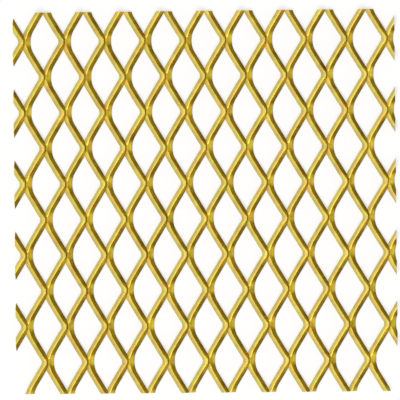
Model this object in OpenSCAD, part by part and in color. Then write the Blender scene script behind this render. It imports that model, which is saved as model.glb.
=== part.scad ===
// Raised expanded metal sheet, as it leaves the slitting press.
// Strips one strand wide are slit from a flat sheet and pressed down in a zigzag,
// each half a mesh out of step with the last, so that the slits open into diamonds.
// Neighbouring strands stay joined, side by side, at the bonds.
// X runs along the short way of the mesh, Y along the long way, and Z is up from the floor.

/* [Sheet] */
// Sheet size along the short way of the mesh
sheet_short = 150; // [60:1:300]
// Sheet size along the long way of the mesh
sheet_long = 150; // [80:1:300]
// Thickness of the metal that is slit
metal_t = 2.2; // [1:0.1:3.5]

/* [Mesh] */
// Short way of a mesh, from bond centre to bond centre
short_way = 15.85; // [12:0.05:24]
// Long way of a mesh, from bond centre to bond centre
long_way = 28; // [22:0.1:44]
// Width of a slit strand, which is the feed of the press
strand_w = 3.4; // [2:0.1:5]
// Length of the flat in the middle of a bond
bond_flat = 0.6; // [0.2:0.1:3]
// Bend radius where the tooth of the press draws the strand
tooth_r = 7.6; // [2:0.1:9]
// Bend radius where the die holds the strand
die_r = 1.4; // [0.4:0.1:4]
// Depth that the levelling rolls press off each side
roll_flat = 0.2; // [0.1:0.05:0.4]

/* [Shear cut] */
// Distance of the nearest bond from the sheet's middle, along the short way
cut_shift_short = 0.75; // [-7:0.05:7]
// Distance of the nearest bond from the sheet's middle, along the long way
cut_shift_long = -6.6; // [-14:0.1:14]

/* [Colour] */
// Colour of the yellow metal
metal_colour = "#d9b546"; // [#d9b546, #b87333, #b8bcc0]

/* [Hidden] */

// Straight steps in a quarter of each bend
tooth_steps = 4;
die_steps = 2;

// Neighbouring strands lap by this much, so that they are one piece at the bonds.
bond_lap = metal_t / 100;

// A strand's pitch along each way is half a mesh.
half_short = short_way / 2;
half_long = long_way / 2;

// The press lowers each strand by the stroke and feeds by strand_w, so the mesh leans by lean.
lean = acos(strand_w / half_short);
stroke = half_short * sin(lean);

// Slope of a strand between its two bends, which are tangent to it.
bend_sum = tooth_r + die_r;
slope_run = half_long - bond_flat;
slope = atan2(stroke - bend_sum, slope_run)
    + asin(bend_sum / norm([slope_run, stroke - bend_sum]));

// Height of the raised sheet before and after levelling
raised_h = 2 * strand_w * sin(lean) + metal_t * cos(lean);
sheet_h = raised_h - 2 * roll_flat;

// Strands and rows of bonds that reach past the sheet on either side
strand_reach = ceil((sheet_short / 2 + abs(cut_shift_short)) / half_short) + 1;
row_reach = ceil((sheet_long / 2 + abs(cut_shift_long)) / half_long) + 1;

// A strand is drawn by the tooth at every other bond and held by the die at the rest.
function at_die(strand, row) = (strand + row) % 2 != 0;

// Place of a row of bonds along the long way
function row_y(row) = cut_shift_long + row * half_long;

// Place of a strand's middle along the short way, at one row of bonds
function strand_x(strand, row) = cut_shift_short + strand * half_short
    + (at_die(strand, row) ? half_short - strand_w * cos(lean) / 2 : strand_w * cos(lean) / 2);

// Rows where a strand's middle lies on the sheet. A scrap that no such row holds falls off the cut.
function rows_held(strand) = [
    for (row = [-row_reach : row_reach])
        if (abs(strand_x(strand, row)) < sheet_short / 2 && abs(row_y(row)) < sheet_long / 2) row
];

// Points over one bond, from the sides of it that are named: a bend to the flat and a bend away from it.
// A positive turn bends upwards, as under the tooth, and a negative one downwards, as over the die.
function bend(y, level, r, steps, turn, sides) = [
    for (side = sides, i = [0 : steps])
        let (angle = slope * (side < 0 ? steps - i : i) / steps)
            [y + side * (bond_flat / 2 + r * sin(angle)), level + turn * r * (1 - cos(angle))]
];

// Middle line of a strand over one row of bonds, seen along the feed of the press
function bond_line(strand, row, sides) = at_die(strand, row)
    ? bend(row_y(row), (strand + 1) * stroke, die_r, die_steps, -1, sides)
    : bend(row_y(row), strand * stroke, tooth_r, tooth_steps, 1, sides);

// Height of a strand's middle line at one row of bonds
function bond_level(strand, row) = (at_die(strand, row) ? strand + 1 : strand) * stroke;

// Middle line of a strand, from the middle of one row of bonds to the middle of another
function zigzag(strand, from, to) = concat(
    [[row_y(from), bond_level(strand, from)]],
    [for (row = [from : to])
        each bond_line(strand, row, row == from ? [1] : row == to ? [-1] : [-1, 1])],
    [[row_y(to), bond_level(strand, to)]]
);

function raised_by(points, rise) = [for (p = points) [p[0], p[1] + rise]];

function reversed(points) = [for (i = [len(points) - 1 : -1 : 0]) points[i]];

// One slit strip, pressed into its zigzag
module strand(index, rows) {
    middle = zigzag(index, min(rows) - 1, max(rows) + 1);
    translate([0, 0, index * strand_w - bond_lap / 2])
        linear_extrude(strand_w + bond_lap)
            polygon(concat(
                raised_by(middle, -metal_t / 2),
                reversed(raised_by(middle, metal_t / 2))
            ));
}

// All the strands, leaned so that the mesh lies level, with its middle plane at Z = 0
module strands() {
    translate([cut_shift_short, 0, 0])
        rotate([0, lean, 0])
            rotate([90, 0, 90])
                for (index = [-strand_reach : strand_reach])
                    if (len(rows_held(index)) > 0)
                        strand(index, rows_held(index));
}

// The block that the shear and the levelling rolls leave
module trimmed_block() {
    cube([sheet_short, sheet_long, sheet_h], center = true);
}

module expanded_sheet() {
    color(metal_colour)
        translate([0, 0, sheet_h / 2])
            intersection() {
                strands();
                trimmed_block();
            }
}

expanded_sheet();
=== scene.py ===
"""Expanded metal sheet: one piece of slit and drawn brass mesh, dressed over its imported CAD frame."""

import logging
import math
from dataclasses import dataclass
from enum import Enum

import bmesh
import bpy
import numpy as np
from mathutils import Euler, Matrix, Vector


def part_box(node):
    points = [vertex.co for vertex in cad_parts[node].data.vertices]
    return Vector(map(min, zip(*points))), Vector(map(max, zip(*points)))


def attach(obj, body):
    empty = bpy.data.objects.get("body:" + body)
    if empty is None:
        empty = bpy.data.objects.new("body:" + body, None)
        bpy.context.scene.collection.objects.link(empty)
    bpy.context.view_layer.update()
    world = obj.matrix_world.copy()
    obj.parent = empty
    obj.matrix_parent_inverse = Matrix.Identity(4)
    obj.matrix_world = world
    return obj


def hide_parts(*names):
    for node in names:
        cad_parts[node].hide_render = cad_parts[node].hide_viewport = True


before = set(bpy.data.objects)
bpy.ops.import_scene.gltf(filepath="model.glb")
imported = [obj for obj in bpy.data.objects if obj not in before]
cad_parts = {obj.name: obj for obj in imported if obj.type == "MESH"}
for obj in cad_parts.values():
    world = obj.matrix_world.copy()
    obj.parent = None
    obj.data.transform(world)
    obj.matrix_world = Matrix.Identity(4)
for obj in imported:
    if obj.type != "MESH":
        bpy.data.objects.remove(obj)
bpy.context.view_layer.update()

LOG = logging.getLogger("expanded_sheet")
SHEET_NODE = "expanded_sheet"
MM = 0.001

# A Mix node's sockets by number, because those for numbers and those for colours share their names
MIX_SHARE = 0
MIX_NUMBER_A = 2
MIX_NUMBER_B = 3
MIX_COLOUR_A = 6
MIX_COLOUR_B = 7
MIXED_NUMBER = 0
MIXED_COLOUR = 2


def linear_from_hex(colour: str) -> tuple[float, float, float, float]:
    """Turns an sRGB hex colour into the linear colour that a shader's socket takes.

    It is sRGB's own curve, which is straight near black and a power of 2.4 above that.

    Args:
        colour: The colour as "#rrggbb".

    Returns:
        Linear red, green, blue and an alpha of 1.
    """
    coded = np.array([int(colour[place : place + 2], 16) for place in (1, 3, 5)]) / 255.0
    linear = np.where(coded <= 0.04045, coded / 12.92, ((coded + 0.055) / 1.055) ** 2.4)
    return (float(linear[0]), float(linear[1]), float(linear[2]), 1.0)


def add_node(tree: bpy.types.NodeTree, kind: str, settings: dict, inputs: dict) -> bpy.types.Node:
    """Adds one shader node with its settings, its socket values and its links.

    Args:
        tree: The node tree that takes the node.
        kind: The node's type name, such as "ShaderNodeBsdfPrincipled".
        settings: Properties to set on the node.
        inputs: Socket name or number to a plain value, or to the output socket that is linked to it.

    Returns:
        The new node.
    """
    node = tree.nodes.new(kind)
    for name, value in settings.items():
        setattr(node, name, value)
    for name, value in inputs.items():
        if isinstance(value, bpy.types.NodeSocket):
            tree.links.new(value, node.inputs[name])
        else:
            node.inputs[name].default_value = value
    return node


def smooth_step(value: np.ndarray, low: float, high: float) -> np.ndarray:
    """Gives 0 below low, 1 above high and the smooth cubic 3s^2 - 2s^3 between them."""
    share = np.clip((value - low) / (high - low), 0.0, 1.0)
    return share * share * (3.0 - 2.0 * share)


class Strands(Enum):
    """The two sets of strands, each of which touches only strands of the other set."""

    EVEN = 0
    ODD = 1


class Worked(Enum):
    """How the press worked the metal at a point, and where a sheen is painted on it, by the name of the
    attribute that holds it.
    """

    SLIT = "slit"
    DEPTH = "depth"
    # A painted sheen round the bonds, where the rolled faces turn up to the lamp
    BOND = "bond"


@dataclass(frozen=True)
class PressPattern:
    """The slitting press, in mm: the sizes that the part's source has, and those of the worn edges.

    Each strand is drawn by the tooth at every other bond, and held by the die at the bonds between.
    """

    short_way: float = 15.85
    long_way: float = 28.0
    strand_w: float = 3.4
    metal_t: float = 2.2
    bond_flat: float = 0.6
    tooth_r: float = 7.6
    die_r: float = 1.4
    shift_short: float = 0.75
    shift_long: float = -6.6
    # Neighbouring strands lap by this much, so that they are one piece at the bonds.
    bond_lap: float = 0.03
    # Sections of a strand over its bend at the tooth, along its straight slope and over its bend at the die
    tooth_sections: int = 10
    slope_sections: int = 6
    die_sections: int = 7
    # A slit face rolls over at the edge where the shear enters, tears back below its middle, and ends in a
    # sharper burr. The tear starts at this share of the thickness below the middle. At a bond, where the
    # metal isn't slit, these close up to a small edge.
    rollover_r: float = 0.46
    burr_r: float = 0.14
    tear_inset: float = 0.06
    tear_start: float = 0.05
    bond_edge_r: float = 0.06
    # At its tooth's bond a strand slopes down to the slit line in a crease: its depth, its reach across the
    # strand, and the share by which a soft slope takes the place of a round edge.
    fold_depth: float = 0.75
    crease_reach: float = 1.8
    crease_soft: float = 0.5
    # At its die's bond a strand dents on the side of the slit line, and lifts on its free side to a ridge.
    die_dent: float = 0.85
    die_lift: float = 0.2
    die_ridge_r: float = 0.2
    # A crease is full up to the first distance from the bond's middle, and gone at the second.
    fold_flat: float = 0.4
    fold_reach: float = 2.6

    @property
    def half_short(self) -> float:
        """Half a mesh along the short way."""
        return self.short_way / 2.0

    @property
    def half_long(self) -> float:
        """Half a mesh along the long way."""
        return self.long_way / 2.0

    @property
    def lean(self) -> float:
        """Angle, in radians, by which the feed of the press leans in the level mesh."""
        return math.acos(self.strand_w / self.half_short)

    @property
    def stroke(self) -> float:
        """Height by which the press lowers each strand."""
        return self.half_short * math.sin(self.lean)

    @property
    def slope(self) -> float:
        """Slope of a strand between its two bends, which are tangent to it.

        Returns:
            The angle, in radians.
        """
        bends = self.tooth_r + self.die_r
        run = self.half_long - self.bond_flat
        drop = self.stroke - bends
        return math.atan2(drop, run) + math.asin(bends / math.hypot(run, drop))

    def draw_steps(self) -> np.ndarray:
        """Places of a strand's sections between two bonds, evenly over each bend and along the slope.

        Returns:
            Distances along the long way from the tooth's bond, from 0 to half a mesh.
        """
        tooth_end = self.bond_flat / 2.0 + self.tooth_r * math.sin(self.slope)
        die_start = self.half_long - self.bond_flat / 2.0 - self.die_r * math.sin(self.slope)
        near_tooth = np.linspace(0.0, tooth_end, self.tooth_sections)
        straight = np.linspace(tooth_end, die_start, self.slope_sections)[1:-1]
        near_die = np.linspace(die_start, self.half_long, self.die_sections)
        return np.concatenate([near_tooth, straight, near_die])

    def draw(self, away: np.ndarray) -> np.ndarray:
        """Rise of a strand's middle line over its level at the tooth.

        It is flat for half the bond's flat, follows a circle of tooth_r up to the slope, runs straight,
        and follows a circle of die_r back to level at the stroke's height.

        Args:
            away: Distance along the long way from the tooth's bond, from 0 to half a mesh.

        Returns:
            The rise, in mm, in an array of the same shape.
        """
        half_flat = self.bond_flat / 2.0
        from_tooth = np.maximum(away - half_flat, 0.0)
        from_die = np.maximum(self.half_long - half_flat - away, 0.0)
        tooth_run = self.tooth_r * math.sin(self.slope)
        die_run = self.die_r * math.sin(self.slope)
        tooth_arc = self.tooth_r - np.sqrt(self.tooth_r**2 - np.minimum(from_tooth, tooth_run) ** 2)
        die_arc = self.die_r - np.sqrt(self.die_r**2 - np.minimum(from_die, die_run) ** 2)
        straight = np.maximum(from_tooth - tooth_run, 0.0) * math.tan(self.slope)
        return np.where(from_die < die_run, self.stroke - die_arc, tooth_arc + straight)

    def fold(self, away: np.ndarray) -> np.ndarray:
        """Share of a bond's crease at a distance from the bond's middle: 1 there, easing to 0."""
        return 1.0 - smooth_step(away, self.fold_flat, self.fold_reach)

    def crease_shift(
        self, away: np.ndarray, share: np.ndarray, height: np.ndarray
    ) -> tuple[np.ndarray, np.ndarray]:
        """How far the bonds' creases dent and lift the points of a strand.

        By the die's bond a point dents by die_dent times its share across the strand, and lifts by die_lift
        times what is left of that share. By the tooth's bond a point on the underside dents by fold_depth
        times what is left. All of these are times the crease's share at that distance.

        Args:
            away: Distance along the long way from the nearest bond that a tooth drew.
            share: Place across the strand, from 0 on the tooth's side to 1 on the die's.
            height: Height over the strand's middle line.

        Returns:
            The dent and the lift of each point, in mm.
        """
        die_fold = self.fold(self.half_long - away)
        lower = self.fold(away) * (1.0 - share) * (height < 0.0)
        dent = self.die_dent * die_fold * share + self.fold_depth * lower
        lift = self.die_lift * die_fold * (1.0 - share)
        return dent, lift


@dataclass
class ExpandedSheet:
    """The sheet: strands carried along their zigzags, made one at the bonds and cut to the CAD box."""

    press: PressPattern
    # Lowest and highest corner of the CAD box, in mm
    low: np.ndarray
    high: np.ndarray
    piece_name: str = "brass_mesh_sheet"
    # Rows of bonds on either side of the middle that are looked through, more than the sheet holds
    most_rows: int = 20
    # Straight steps round each worn corner of a section
    corner_steps: int = 3
    # Edges shorter than this, in mm, are dissolved after the cuts.
    sliver: float = 0.005
    # Edges that bend by more than this, in degrees, are shaded sharp.
    sharp_angle: float = 40.0
    # A painted sheen lies on the rolled faces by the bonds, where they turn up to the lamp: its reach along
    # the long way at a tooth's and a die's bond, and how far along one arm of the bend its middle lies, in
    # mm, which paints more light on that arm and shade on the other. It fades over these shares of its
    # reach, and a die's bond keeps only a part of it.
    tooth_shine: float = 2.9
    die_shine: float = 5.0
    tooth_shift: float = 0.7
    die_shift: float = -1.0
    shine_fade: tuple[float, float] = (0.3, 1.0)
    die_kept: float = 0.6
    # A face is rolled up to the first and slit from the second of these cosines of its angle to the feed.
    slit_facing: tuple[float, float] = (0.45, 0.9)
    # A crease faces along the feed like a slit face, but counts as rolled by this share.
    crease_rolled: float = 0.8
    # Flats from the levelling rolls count as slit by this share, which paints shade on these flats that face
    # the lamp.
    level_slit: float = 0.45
    # Height of the rolled faces over the metal's middle, as a share of its thickness
    skin: float = 0.5
    # A face on the CAD box lies this near it, in mm, and faces along it at least this much.
    box_gap: float = 0.02
    box_facing: float = 0.999
    # Depth, in mm, at which a face corner asks which strand it belongs to
    probe_depth: float = 0.2

    def middle_x(self, strand: int, rows: np.ndarray) -> np.ndarray:
        """Place of a strand's middle along the short way at rows of bonds.

        Args:
            strand: The strand's number.
            rows: Numbers of the rows of bonds.

        Returns:
            The place at each row, in mm.
        """
        inset = self.press.strand_w * math.cos(self.press.lean) / 2.0
        at_die = (strand + rows) % 2 != 0
        reach = np.where(at_die, self.press.half_short - inset, inset)
        return self.press.shift_short + strand * self.press.half_short + reach

    def rows_held(self, strand: int) -> np.ndarray:
        """Rows of bonds at which a strand's middle lies on the sheet.

        Args:
            strand: The strand's number.

        Returns:
            The rows' numbers, none where the strand misses the sheet.
        """
        rows = np.arange(-self.most_rows, self.most_rows + 1)
        middle = self.middle_x(strand, rows)
        along = self.press.shift_long + rows * self.press.half_long
        on_sheet = (middle > self.low[0]) & (middle < self.high[0])
        return rows[on_sheet & (along > self.low[1]) & (along < self.high[1])]

    def stations(self, first_row: int, last_row: int, strand: int) -> tuple[np.ndarray, np.ndarray]:
        """Places along the long way of a strand's sections.

        Args:
            first_row: Row of bonds where the strand starts.
            last_row: Row of bonds where it ends.
            strand: The strand's number.

        Returns:
            The places, and the distance of each from the nearest bond that a tooth drew.
        """
        steps = self.press.draw_steps()
        rows = np.arange(first_row, last_row)
        from_tooth = ((strand + rows) % 2 == 0)[:, None]
        away = np.where(from_tooth, steps[None, :], steps[None, ::-1])
        along = np.where(from_tooth, away, self.press.half_long - away)
        place = self.press.shift_long + rows[:, None] * self.press.half_long + along
        keep = np.ones(place.shape, dtype=bool)
        keep[1:, 0] = False
        return place[keep], away[keep]

    def section(self, away: np.ndarray) -> tuple[np.ndarray, np.ndarray]:
        """Outline of a strand's section at each station, a rectangle with worn corners.

        The tooth's side runs from the burr at the bottom up the slit face and round the rollover. The die's
        side is such a half too, turned by half a turn about the section's middle. By the tooth's bond, the
        rollover of the tooth's side eases to the crease. By the die's bond it eases to a ridge of
        die_ridge_r, and that of the die's side to bond_edge_r. The creases then shift each point down by
        its dent and up by its lift.

        Args:
            away: Distance of each station from the nearest bond that a tooth drew.

        Returns:
            Places across the strand and heights over its middle line, each stations by points.
        """
        press = self.press
        tooth_fold = press.fold(away)[:, None]
        die_fold = press.fold(press.half_long - away)[:, None]
        ridge_r = press.rollover_r + (press.die_ridge_r - press.rollover_r) * die_fold
        crease_depth = ridge_r + (press.fold_depth - press.rollover_r) * tooth_fold
        crease_reach = ridge_r + (press.crease_reach - press.rollover_r) * tooth_fold
        under_r = press.rollover_r + (press.bond_edge_r - press.rollover_r) * die_fold
        soft = press.crease_soft * tooth_fold
        tooth_across, tooth_height = self.slit_side(1.0 - tooth_fold, crease_depth, crease_reach, soft)
        die_across, die_height = self.slit_side(1.0 - die_fold, under_r, under_r, np.zeros_like(soft))
        across = np.concatenate([tooth_across, press.strand_w - die_across], axis=1)
        height = np.concatenate([tooth_height, -die_height], axis=1)
        share = np.clip(across / press.strand_w, 0.0, 1.0)
        dent, lift = press.crease_shift(away[:, None], share, height)
        return across, height - dent + lift

    def slit_side(
        self, worn: np.ndarray, depth: np.ndarray, reach: np.ndarray, soft: np.ndarray
    ) -> tuple[np.ndarray, np.ndarray]:
        """Half of a section's outline, from the burr at the bottom to the rolled face at the top.

        The burr is a quarter circle that the tear sets back. A straight line runs from it to the point where
        the tear starts, and another from there to the rollover, a quarter ellipse mixed with a parabola.

        Args:
            worn: Share of the burr and the tear, from 0 in a bond to 1 on a free strand, as a column.
            depth: How far the rollover reaches down the slit face, as a column.
            reach: How far it reaches along the rolled face, as a column.
            soft: Share by which its ellipse gives way to a parabola, as a column.

        Returns:
            Distances in from the slit plane and heights over the middle line, stations by points.
        """
        press = self.press
        top = press.metal_t / 2.0
        turn = np.linspace(0.0, math.pi / 2.0, self.corner_steps + 1)[None, :]
        step = np.linspace(0.0, 1.0, self.corner_steps + 1)[None, :]
        burr = press.bond_edge_r + (press.burr_r - press.bond_edge_r) * worn
        burr_in = press.tear_inset * worn + burr * (1.0 - np.sin(turn))
        burr_height = -top + burr * (1.0 - np.cos(turn))
        tear_in = np.zeros_like(worn)
        tear_height = np.full_like(worn, -press.tear_start * press.metal_t)
        rollover_in = reach * ((1.0 - soft) * (1.0 - np.cos(turn)) + soft * step)
        rollover_height = top - depth * ((1.0 - soft) * (1.0 - np.sin(turn)) + soft * (1.0 - step) ** 2)
        inward = np.concatenate([burr_in, tear_in, rollover_in], axis=1) - press.bond_lap / 2.0
        return inward, np.concatenate([burr_height, tear_height, rollover_height], axis=1)

    def strand_points(self, strand: int) -> np.ndarray:
        """Points of one strand: its section carried along its zigzag, then leaned level.

        A point across the strand by u and over the feed by v lies at x = u cos(lean) + v sin(lean) and
        z = v cos(lean) - u sin(lean) from the mesh's middle.

        Args:
            strand: The strand's number.

        Returns:
            An array of stations by points by 3, in mm.
        """
        rows = self.rows_held(strand)
        place, away = self.stations(int(rows.min()) - 1, int(rows.max()) + 1, strand)
        across, height = self.section(away)
        feed = strand * self.press.strand_w + across
        rise = strand * self.press.stroke + self.press.draw(away)[:, None] + height
        lean = self.press.lean
        middle_z = (self.low[2] + self.high[2]) / 2.0
        x = self.press.shift_short + feed * math.cos(lean) + rise * math.sin(lean)
        z = middle_z - feed * math.sin(lean) + rise * math.cos(lean)
        y = np.broadcast_to(place[:, None], x.shape)
        return np.stack([x, y, z], axis=2)

    def strand_faces(self, stations: int, points: int) -> tuple[np.ndarray, np.ndarray]:
        """Faces of one strand: a quad between neighbouring points of neighbouring sections, and two ends.

        Args:
            stations: Number of sections.
            points: Number of points in a section.

        Returns:
            The quads, one a row, and the two end faces, one a row.
        """
        grid = np.arange(stations * points).reshape(stations, points)
        beside = np.roll(grid, -1, axis=1)
        quads = np.stack([grid[:-1], beside[:-1], beside[1:], grid[1:]], axis=2).reshape(-1, 4)
        ends = np.stack([grid[0, ::-1], grid[-1]])
        return quads, ends

    def set_mesh(self, which: Strands) -> bpy.types.Mesh:
        """Builds every strand of one set as closed shells in one mesh.

        Args:
            which: The set of strands.

        Returns:
            The mesh, in metres.
        """
        reach = math.ceil(float(np.max(np.abs([self.low[0], self.high[0]]))) / self.press.half_short) + 1
        chosen = [s for s in range(-reach, reach + 1) if s % 2 == which.value and self.rows_held(s).size]
        points = []
        faces = []
        start = 0
        for strand in chosen:
            grid = self.strand_points(strand)
            quads, ends = self.strand_faces(grid.shape[0], grid.shape[1])
            points.append(grid.reshape(-1, 3))
            faces.extend((quads + start).tolist())
            faces.extend((ends + start).tolist())
            start += grid.shape[0] * grid.shape[1]
        mesh = bpy.data.meshes.new(f"strands_{which.name.lower()}")
        mesh.from_pydata((np.concatenate(points) * MM).tolist(), [], faces)
        mesh.update()
        return mesh

    def block_mesh(self) -> bpy.types.Mesh:
        """Block that the shear and the levelling rolls leave, with the CAD box's corners.

        Returns:
            The mesh, in metres.
        """
        corner = np.indices((2, 2, 2)).reshape(3, 8).T
        points = np.where(corner == 0, self.low, self.high) * MM
        faces = [(0, 1, 3, 2), (4, 6, 7, 5), (0, 4, 5, 1), (2, 3, 7, 6), (0, 2, 6, 4), (1, 5, 7, 3)]
        mesh = bpy.data.meshes.new("trimmed_block")
        mesh.from_pydata(points.tolist(), [], faces)
        mesh.update()
        return mesh

    def build(self) -> bpy.types.Object:
        """Makes the strands one solid at the bonds and cuts it to the CAD box.

        Returns:
            The finished sheet, with its place in its mesh.
        """
        scene = bpy.context.scene
        even, odd, block = (
            bpy.data.objects.new(mesh.name, mesh)
            for mesh in (self.set_mesh(Strands.EVEN), self.set_mesh(Strands.ODD), self.block_mesh())
        )
        for helper in (even, odd, block):
            scene.collection.objects.link(helper)
        for helper, operation in ((odd, "UNION"), (block, "INTERSECT")):
            cut = even.modifiers.new(operation.lower(), "BOOLEAN")
            cut.operation = operation
            cut.solver = "MANIFOLD"
            cut.object = helper
        drawn = even.evaluated_get(bpy.context.evaluated_depsgraph_get())
        mesh = bpy.data.meshes.new_from_object(drawn)
        mesh.name = self.piece_name
        for helper in (even, odd, block):
            bpy.data.objects.remove(helper)
        sheet = bpy.data.objects.new(self.piece_name, mesh)
        scene.collection.objects.link(sheet)
        self.clear_slivers(mesh)
        self.shade(mesh)
        return sheet

    def clear_slivers(self, mesh: bpy.types.Mesh) -> None:
        """Dissolves edges shorter than sliver, and faces without area, that the cuts leave.

        Args:
            mesh: The cut mesh, in metres.
        """
        work = bmesh.new()
        work.from_mesh(mesh)
        bmesh.ops.dissolve_degenerate(work, dist=self.sliver * MM, edges=work.edges)
        work.to_mesh(mesh)
        work.free()

    def shade(self, mesh: bpy.types.Mesh) -> None:
        """Smooths the drawn faces, keeps the cut edges sharp and notes how each face corner was worked, and
        where a sheen is painted on it.

        Args:
            mesh: The cut mesh, in metres.
        """
        mesh.shade_smooth()
        mesh.set_sharp_from_angle(angle=math.radians(self.sharp_angle))
        for mark, values in self.worked(*self.corners(mesh)).items():
            attribute = mesh.attributes.new(mark.value, "FLOAT", "CORNER")
            attribute.data.foreach_set("value", values.astype(np.float32))

    def corners(self, mesh: bpy.types.Mesh) -> tuple[np.ndarray, np.ndarray, np.ndarray]:
        """Normals and places at the corners of a mesh's faces.

        Args:
            mesh: The mesh, in metres, with its smooth and sharp edges set.

        Returns:
            The shaded normal, the face's own normal and the place in mm, each corners by 3.
        """
        vertex = np.empty(len(mesh.loops), dtype=np.int32)
        normal = np.empty(len(mesh.loops) * 3, dtype=np.float32)
        sides = np.empty(len(mesh.polygons), dtype=np.int32)
        flat = np.empty(len(mesh.polygons) * 3, dtype=np.float32)
        place = np.empty(len(mesh.vertices) * 3, dtype=np.float32)
        mesh.loops.foreach_get("vertex_index", vertex)
        mesh.corner_normals.foreach_get("vector", normal)
        mesh.polygons.foreach_get("loop_total", sides)
        mesh.polygons.foreach_get("normal", flat)
        mesh.vertices.foreach_get("co", place)
        flat_at_corner = np.repeat(flat.reshape(-1, 3), sides, axis=0)
        return normal.reshape(-1, 3), flat_at_corner, place.reshape(-1, 3)[vertex] / MM

    def worked(self, normal: np.ndarray, flat: np.ndarray, place: np.ndarray) -> dict[Worked, np.ndarray]:
        """How the press worked the metal at each face corner, and where a sheen is painted on it.

        slit is 1 where a corner faces along the feed of the press, as the slit faces do, and 0 on the rolled
        faces. depth is its height in the metal's thickness, from -0.5 to 0.5, with the creases taken out.
        bond is a painted sheen: 1 where it is full round a bond, where the rolled faces turn up to the lamp,
        easing to 0 along the drawn stretches. Faces on the sides of the CAD box were sheared, so they count
        as slit. Those
        on its top and bottom were levelled: they are part slit and torn, without painted sheen, which paints
        shade on these flats that face the lamp.

        Args:
            normal: The shaded normal at each corner.
            flat: The normal of the corner's face.
            place: The corner's place, in mm.

        Returns:
            The values of each attribute, one a corner.
        """
        press = self.press
        x, y, z = place.T
        level = z - (self.low[2] + self.high[2]) / 2.0
        feed = (x - press.shift_short) * math.cos(press.lean) - level * math.sin(press.lean)
        rise = (x - press.shift_short) * math.sin(press.lean) + level * math.cos(press.lean)
        facing = normal @ np.array([math.cos(press.lean), 0.0, -math.sin(press.lean)])
        strand = np.floor((feed - self.probe_depth * facing) / press.strand_w)
        phase = ((y - press.shift_long) / press.half_long + strand) % 2.0
        away = press.half_long * np.minimum(phase, 2.0 - phase)
        folded = rise - strand * press.stroke - press.draw(away)
        dent, lift = press.crease_shift(away, feed / press.strand_w - strand, folded)
        depth = np.clip((folded + dent - lift) / press.metal_t, -self.skin, self.skin)
        # Painted sheen round the bonds, where the rolled faces turn up to the lamp, set along one arm of
        # each bend to paint more light on it than on the other; a die's bond keeps less of it
        past_tooth = press.half_long * np.where(phase < 1.0, phase, phase - 2.0)
        past_die = press.half_long * (phase - 1.0)
        from_tooth = np.abs(past_tooth - self.tooth_shift) / self.tooth_shine
        from_die = np.abs(past_die - self.die_shift) / self.die_shine
        kept = np.where(away < press.half_long / 2.0, 1.0, self.die_kept)
        shine = kept * (1.0 - smooth_step(np.minimum(from_tooth, from_die), *self.shine_fade))
        on_box = np.minimum(np.abs(place - self.low), np.abs(place - self.high)) < self.box_gap
        sheared_x, sheared_y, levelled = (on_box & (np.abs(flat) > self.box_facing)).T
        rolled_crease = self.crease_rolled * press.fold(away)
        slit = smooth_step(np.abs(facing), *self.slit_facing) * (1.0 - rolled_crease)
        # Levelled flats face the lamp; their part-slit share, their torn depth and their lack of sheen paint
        # shade on them
        slit = np.where(sheared_x | sheared_y, 1.0, np.where(levelled, self.level_slit, slit))
        return {
            Worked.SLIT: slit,
            Worked.DEPTH: np.where(levelled, -self.skin, depth),
            Worked.BOND: np.where(levelled, 0.0, shine),
        }


@dataclass(frozen=True)
class NoisePattern:
    """A cloudy or streaky pattern in a finish."""

    # Size of its spots along each axis, in mm
    size: tuple[float, float, float]
    # Finer layers that are added to it, and the strength of each as a share of the one before
    layers: float
    strength: float
    # Shift of the pattern, in metres, which sets it apart from one of a like size
    shift: tuple[float, float, float] = (0.0, 0.0, 0.0)
    # Whether its axes lean with the feed of the press
    leans: bool = False


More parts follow.
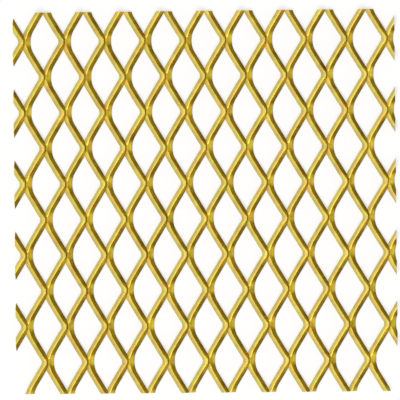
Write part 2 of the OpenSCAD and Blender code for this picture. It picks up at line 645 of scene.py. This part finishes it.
@dataclass(frozen=True)
class SatinBrass:
    """Cold rolled brass strip that was slit and drawn in the press, a little dulled by oil and air.

    The eye gets a warm, satin yellow with no mirror images. The drawn stretches of the rolled faces, which
    turn from the lamp, carry a painted shade of brown, and round the bonds, where they turn up to it, a
    painted sheen of gold. The slit faces are burnished yellow by the edge where the shear went in, and a
    torn, chalky khaki below it, both painted paler in part as highlight on these faces that turn to the
    lamp. Fine lines cross the strands where the shear scraped, and the tarnish is cloudy.
    """

    name: str = "brass_rolled_slit_and_drawn"
    # drawn is a painted shade: the brown of the rolled faces that turn from the lamp. rolled is a painted
    # sheen of gold round the bonds. burnished and torn are the slit faces' own zones, painted paler in part
    # as highlight.
    drawn: str = "#b0920e"
    rolled: str = "#f4d648"
    burnished: str = "#e8d36a"
    torn: str = "#e2d588"
    # The dulled metal stays dark at grazing angles, and the film on it, which isn't metal, has no gloss.
    edge_tint: str = "#201400"
    metallic: float = 0.75
    film_gloss: float = 0.0
    rolled_roughness: float = 0.42
    burnished_roughness: float = 0.54
    torn_roughness: float = 0.7
    tarnish_roughness: float = 0.12
    # Scrape lines are 0.1 to 0.2 mm apart on the metal, and drawn coarser so that they show.
    scrape: NoisePattern = NoisePattern((6.0, 0.6, 6.0), 2.0, 0.6, leans=True)
    tarnish: NoisePattern = NoisePattern((4.5, 4.5, 4.5), 4.0, 0.6)
    stain: NoisePattern = NoisePattern((3.5, 3.5, 3.5), 3.0, 0.6, shift=(0.4, 0.2, 0.7))
    peel: NoisePattern = NoisePattern((1.5, 1.5, 1.5), 2.0, 0.5)
    # Most of a noise lies between these values.
    noise_span: tuple[float, float] = (0.3, 0.7)
    # What the tarnish leaves of the brightness, from its darkest to its clearest, and the hues between
    # which the stains turn the colour, where 0.5 is its own
    rolled_cloud: tuple[float, float] = (0.68, 1.32)
    slit_cloud: tuple[float, float] = (0.88, 1.11)
    warmth: tuple[float, float] = (0.478, 0.519)
    # A slit face goes from burnished to torn between these depths, which the scrape lines make ragged.
    tear_span: tuple[float, float] = (0.4, -0.1)
    tear_ragged: float = 0.5
    # Depth of the scrape lines and of the peel, in mm, and how strongly they shade the surface
    relief_depth: float = 0.05
    relief_strength: float = 0.8

    def make(self, lean: float) -> bpy.types.Material:
        """Builds the material.

        Args:
            lean: Lean of the press's feed in the mesh, in radians.

        Returns:
            The material.
        """
        material = bpy.data.materials.new(self.name)
        material.use_nodes = True
        tree = material.node_tree
        tree.nodes.clear()
        # bond is the painted sheen round the bonds
        slit, depth, bond = (
            add_node(tree, "ShaderNodeAttribute", {"attribute_name": mark.value}, {}).outputs["Fac"]
            for mark in Worked
        )
        place = add_node(tree, "ShaderNodeTexCoord", {}, {})
        noises = []
        for pattern in (self.scrape, self.tarnish, self.stain, self.peel):
            mapped = add_node(
                tree,
                "ShaderNodeMapping",
                {"vector_type": "TEXTURE"},
                {
                    "Vector": place.outputs["Object"],
                    "Location": pattern.shift,
                    "Rotation": (0.0, lean if pattern.leans else 0.0, 0.0),
                    "Scale": tuple(size * MM for size in pattern.size),
                },
            )
            noise = add_node(
                tree,
                "ShaderNodeTexNoise",
                {},
                {
                    "Vector": mapped.outputs["Vector"],
                    "Scale": 1.0,
                    "Detail": pattern.layers,
                    "Roughness": pattern.strength,
                },
            )
            noises.append(noise.outputs["Fac"])
        scrape, tarnish, stain, peel = noises

        # Colour: painted shade on the drawn stretches or painted sheen round the bonds, burnished or torn on
        # the slit faces with painted highlight, then clouded by the tarnish and warmed by the stains
        ragged = add_node(
            tree,
            "ShaderNodeMath",
            {"operation": "MULTIPLY_ADD"},
            {0: scrape, 1: self.tear_ragged, 2: depth},
        )
        tear = add_node(
            tree,
            "ShaderNodeMapRange",
            {"interpolation_type": "SMOOTHSTEP"},
            {"Value": ragged.outputs[0], "From Min": self.tear_span[0], "From Max": self.tear_span[1]},
        )
        rolled_face, slit_face = (
            add_node(
                tree,
                "ShaderNodeMix",
                {"data_type": "RGBA"},
                {MIX_SHARE: share, MIX_COLOUR_A: linear_from_hex(one), MIX_COLOUR_B: linear_from_hex(other)},
            )
            for share, one, other in (
                (bond, self.drawn, self.rolled),
                (tear.outputs["Result"], self.burnished, self.torn),
            )
        )
        colour = add_node(
            tree,
            "ShaderNodeMix",
            {"data_type": "RGBA"},
            {
                MIX_SHARE: slit,
                MIX_COLOUR_A: rolled_face.outputs[MIXED_COLOUR],
                MIX_COLOUR_B: slit_face.outputs[MIXED_COLOUR],
            },
        )
        rolled_cloud, slit_cloud, warmth = (
            add_node(
                tree,
                "ShaderNodeMapRange",
                {},
                {
                    "Value": noise,
                    "From Min": self.noise_span[0],
                    "From Max": self.noise_span[1],
                    "To Min": low,
                    "To Max": high,
                },
            ).outputs["Result"]
            for noise, (low, high) in (
                (tarnish, self.rolled_cloud),
                (tarnish, self.slit_cloud),
                (stain, self.warmth),
            )
        )
        cloud, relief = (
            add_node(
                tree,
                "ShaderNodeMix",
                {"data_type": "FLOAT"},
                {MIX_SHARE: slit, MIX_NUMBER_A: on_rolled, MIX_NUMBER_B: on_slit},
            ).outputs[MIXED_NUMBER]
            for on_rolled, on_slit in ((rolled_cloud, slit_cloud), (peel, scrape))
        )
        clouded = add_node(
            tree,
            "ShaderNodeHueSaturation",
            {},
            {"Hue": warmth, "Value": cloud, "Color": colour.outputs[MIXED_COLOUR]},
        )

        # Roughness: satin on the rolled faces, duller on the burnished and the torn ones and under tarnish
        slit_satin = add_node(
            tree,
            "ShaderNodeMapRange",
            {},
            {
                "Value": tear.outputs["Result"],
                "To Min": self.burnished_roughness,
                "To Max": self.torn_roughness,
            },
        )
        satin = add_node(
            tree,
            "ShaderNodeMapRange",
            {},
            {"Value": slit, "To Min": self.rolled_roughness, "To Max": slit_satin.outputs["Result"]},
        )
        roughness = add_node(
            tree,
            "ShaderNodeMath",
            {"operation": "MULTIPLY_ADD", "use_clamp": True},
            {0: tarnish, 1: self.tarnish_roughness, 2: satin.outputs["Result"]},
        )
        bump = add_node(
            tree,
            "ShaderNodeBump",
            {},
            {"Strength": self.relief_strength, "Distance": self.relief_depth * MM, "Height": relief},
        )
        shader = add_node(
            tree,
            "ShaderNodeBsdfPrincipled",
            {},
            {
                "Base Color": clouded.outputs["Color"],
                "Metallic": self.metallic,
                "Roughness": roughness.outputs[0],
                "Specular IOR Level": self.film_gloss,
                "Specular Tint": linear_from_hex(self.edge_tint),
                "Normal": bump.outputs["Normal"],
            },
        )
        add_node(tree, "ShaderNodeOutputMaterial", {}, {"Surface": shader.outputs["BSDF"]})
        return material


@dataclass
class Studio:
    """The stage: a floor of white paper, one soft lamp with the sky's fill, and the camera above."""

    # Half of the floor's side, in metres, and its colours to the eye and to light that bounces from it
    floor_half: float = 3.0
    floor_colour: str = "#f8f8f8"
    bounce_colour: str = "#404040"
    # Share of plain white in the floor that the eye sees, which softens the sheet's shadow
    floor_glow: float = 0.65
    # The lamp's power in watts, and its width and place in metres
    key_power: float = 78.3
    key_size: float = 1.5
    key_place: tuple[float, float, float] = (-0.30, -0.54, 3.0)
    sky_colour: str = "#ffffff"
    sky_strength: float = 0.3
    # The point of the sheet in the picture's middle, and the picture's width there, in mm
    view_x: float = -2.05
    view_y: float = 0.68
    view_height: float = 3.3
    view_width: float = 157.2
    # The camera's turn, and how far to the right of straight above it stands, in degrees
    view_turn: float = -0.59
    view_tilt: float = 2.0
    # The camera's distance and the width of its sensor, in mm, and how far it sees, in metres
    view_distance: float = 2500.0
    sensor: float = 36.0
    sight: float = 100.0

    def floor(self) -> bpy.types.Object:
        """Lays the floor of matt white paper, which is darker to bounced light than to the eye.

        Returns:
            The floor.
        """
        corners = np.array([(-1, -1, 0), (1, -1, 0), (1, 1, 0), (-1, 1, 0)]) * self.floor_half
        mesh = bpy.data.meshes.new("studio_floor")
        mesh.from_pydata(corners.tolist(), [], [(0, 1, 2, 3)])
        floor = bpy.data.objects.new("studio_floor", mesh)
        bpy.context.scene.collection.objects.link(floor)
        material = bpy.data.materials.new("floor_paper_matt")
        material.use_nodes = True
        tree = material.node_tree
        tree.nodes.clear()
        path = add_node(tree, "ShaderNodeLightPath", {}, {})
        seen = path.outputs["Is Camera Ray"]
        for ray in ("Is Glossy Ray", "Is Transmission Ray"):
            either = add_node(
                tree,
                "ShaderNodeMath",
                {"operation": "MAXIMUM"},
                {0: seen, 1: path.outputs[ray]},
            )
            seen = either.outputs[0]
        colour = add_node(
            tree,
            "ShaderNodeMix",
            {"data_type": "RGBA"},
            {
                MIX_SHARE: seen,
                MIX_COLOUR_A: linear_from_hex(self.bounce_colour),
                MIX_COLOUR_B: linear_from_hex(self.floor_colour),
            },
        )
        matt = add_node(tree, "ShaderNodeBsdfDiffuse", {}, {"Color": colour.outputs[MIXED_COLOUR]})
        white = add_node(tree, "ShaderNodeEmission", {}, {"Strength": 1.0})
        glow = add_node(tree, "ShaderNodeMath", {"operation": "MULTIPLY"}, {0: seen, 1: self.floor_glow})
        paper = add_node(
            tree,
            "ShaderNodeMixShader",
            {},
            {0: glow.outputs[0], 1: matt.outputs["BSDF"], 2: white.outputs["Emission"]},
        )
        add_node(tree, "ShaderNodeOutputMaterial", {}, {"Surface": paper.outputs["Shader"]})
        mesh.materials.append(material)
        return floor

    def lamps(self) -> None:
        """Hangs the soft lamp over the sheet and sets the sky's fill."""
        light = bpy.data.lights.new("soft_key", "AREA")
        light.shape = "DISK"
        light.size = self.key_size
        light.energy = self.key_power
        lamp = bpy.data.objects.new("soft_key", light)
        lamp.location = self.key_place
        lamp.rotation_euler = (-Vector(self.key_place)).to_track_quat("-Z", "Y").to_euler()
        bpy.context.scene.collection.objects.link(lamp)
        world = bpy.data.worlds.new("studio_sky")
        world.use_nodes = True
        bpy.context.scene.world = world
        tree = world.node_tree
        tree.nodes.clear()
        sky = add_node(
            tree,
            "ShaderNodeBackground",
            {},
            {"Color": linear_from_hex(self.sky_colour), "Strength": self.sky_strength},
        )
        add_node(tree, "ShaderNodeOutputWorld", {}, {"Surface": sky.outputs["Background"]})

    def camera(self) -> None:
        """Hangs a long-lens camera over the sheet, at the photo's angle, with the photo's framing."""
        data = bpy.data.cameras.new("photo_view")
        data.sensor_width = self.sensor
        data.lens = self.sensor * self.view_distance / self.view_width
        data.clip_end = self.sight
        camera = bpy.data.objects.new("photo_view", data)
        aim = Vector((self.view_x, self.view_y, self.view_height))
        turn = Euler((0.0, math.radians(self.view_tilt), math.radians(self.view_turn)))
        camera.location = (aim + turn.to_matrix() @ Vector((0.0, 0.0, self.view_distance))) * MM
        camera.rotation_euler = turn
        bpy.context.scene.collection.objects.link(camera)
        bpy.context.scene.camera = camera


def main() -> None:
    """Builds the sheet, dresses it, sets the stage and logs the piece's counts of vertices and faces."""
    logging.basicConfig(level=logging.INFO, format="%(name)s: %(message)s")
    low, high = (np.array(corner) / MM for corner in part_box(SHEET_NODE))
    press = PressPattern()
    sheet = ExpandedSheet(press, low, high)
    piece = sheet.build()
    # The cuts leave an empty material slot, which goes first.
    piece.data.materials.clear()
    piece.data.materials.append(SatinBrass().make(press.lean))
    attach(piece, "root")
    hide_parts(SHEET_NODE)
    LOG.info("%s: %d vertices, %d faces", piece.name, len(piece.data.vertices), len(piece.data.polygons))
    studio = Studio()
    studio.floor()
    studio.lamps()
    studio.camera()
    bpy.context.scene.view_settings.view_transform = "Standard"


if __name__ == "__main__":
    main()
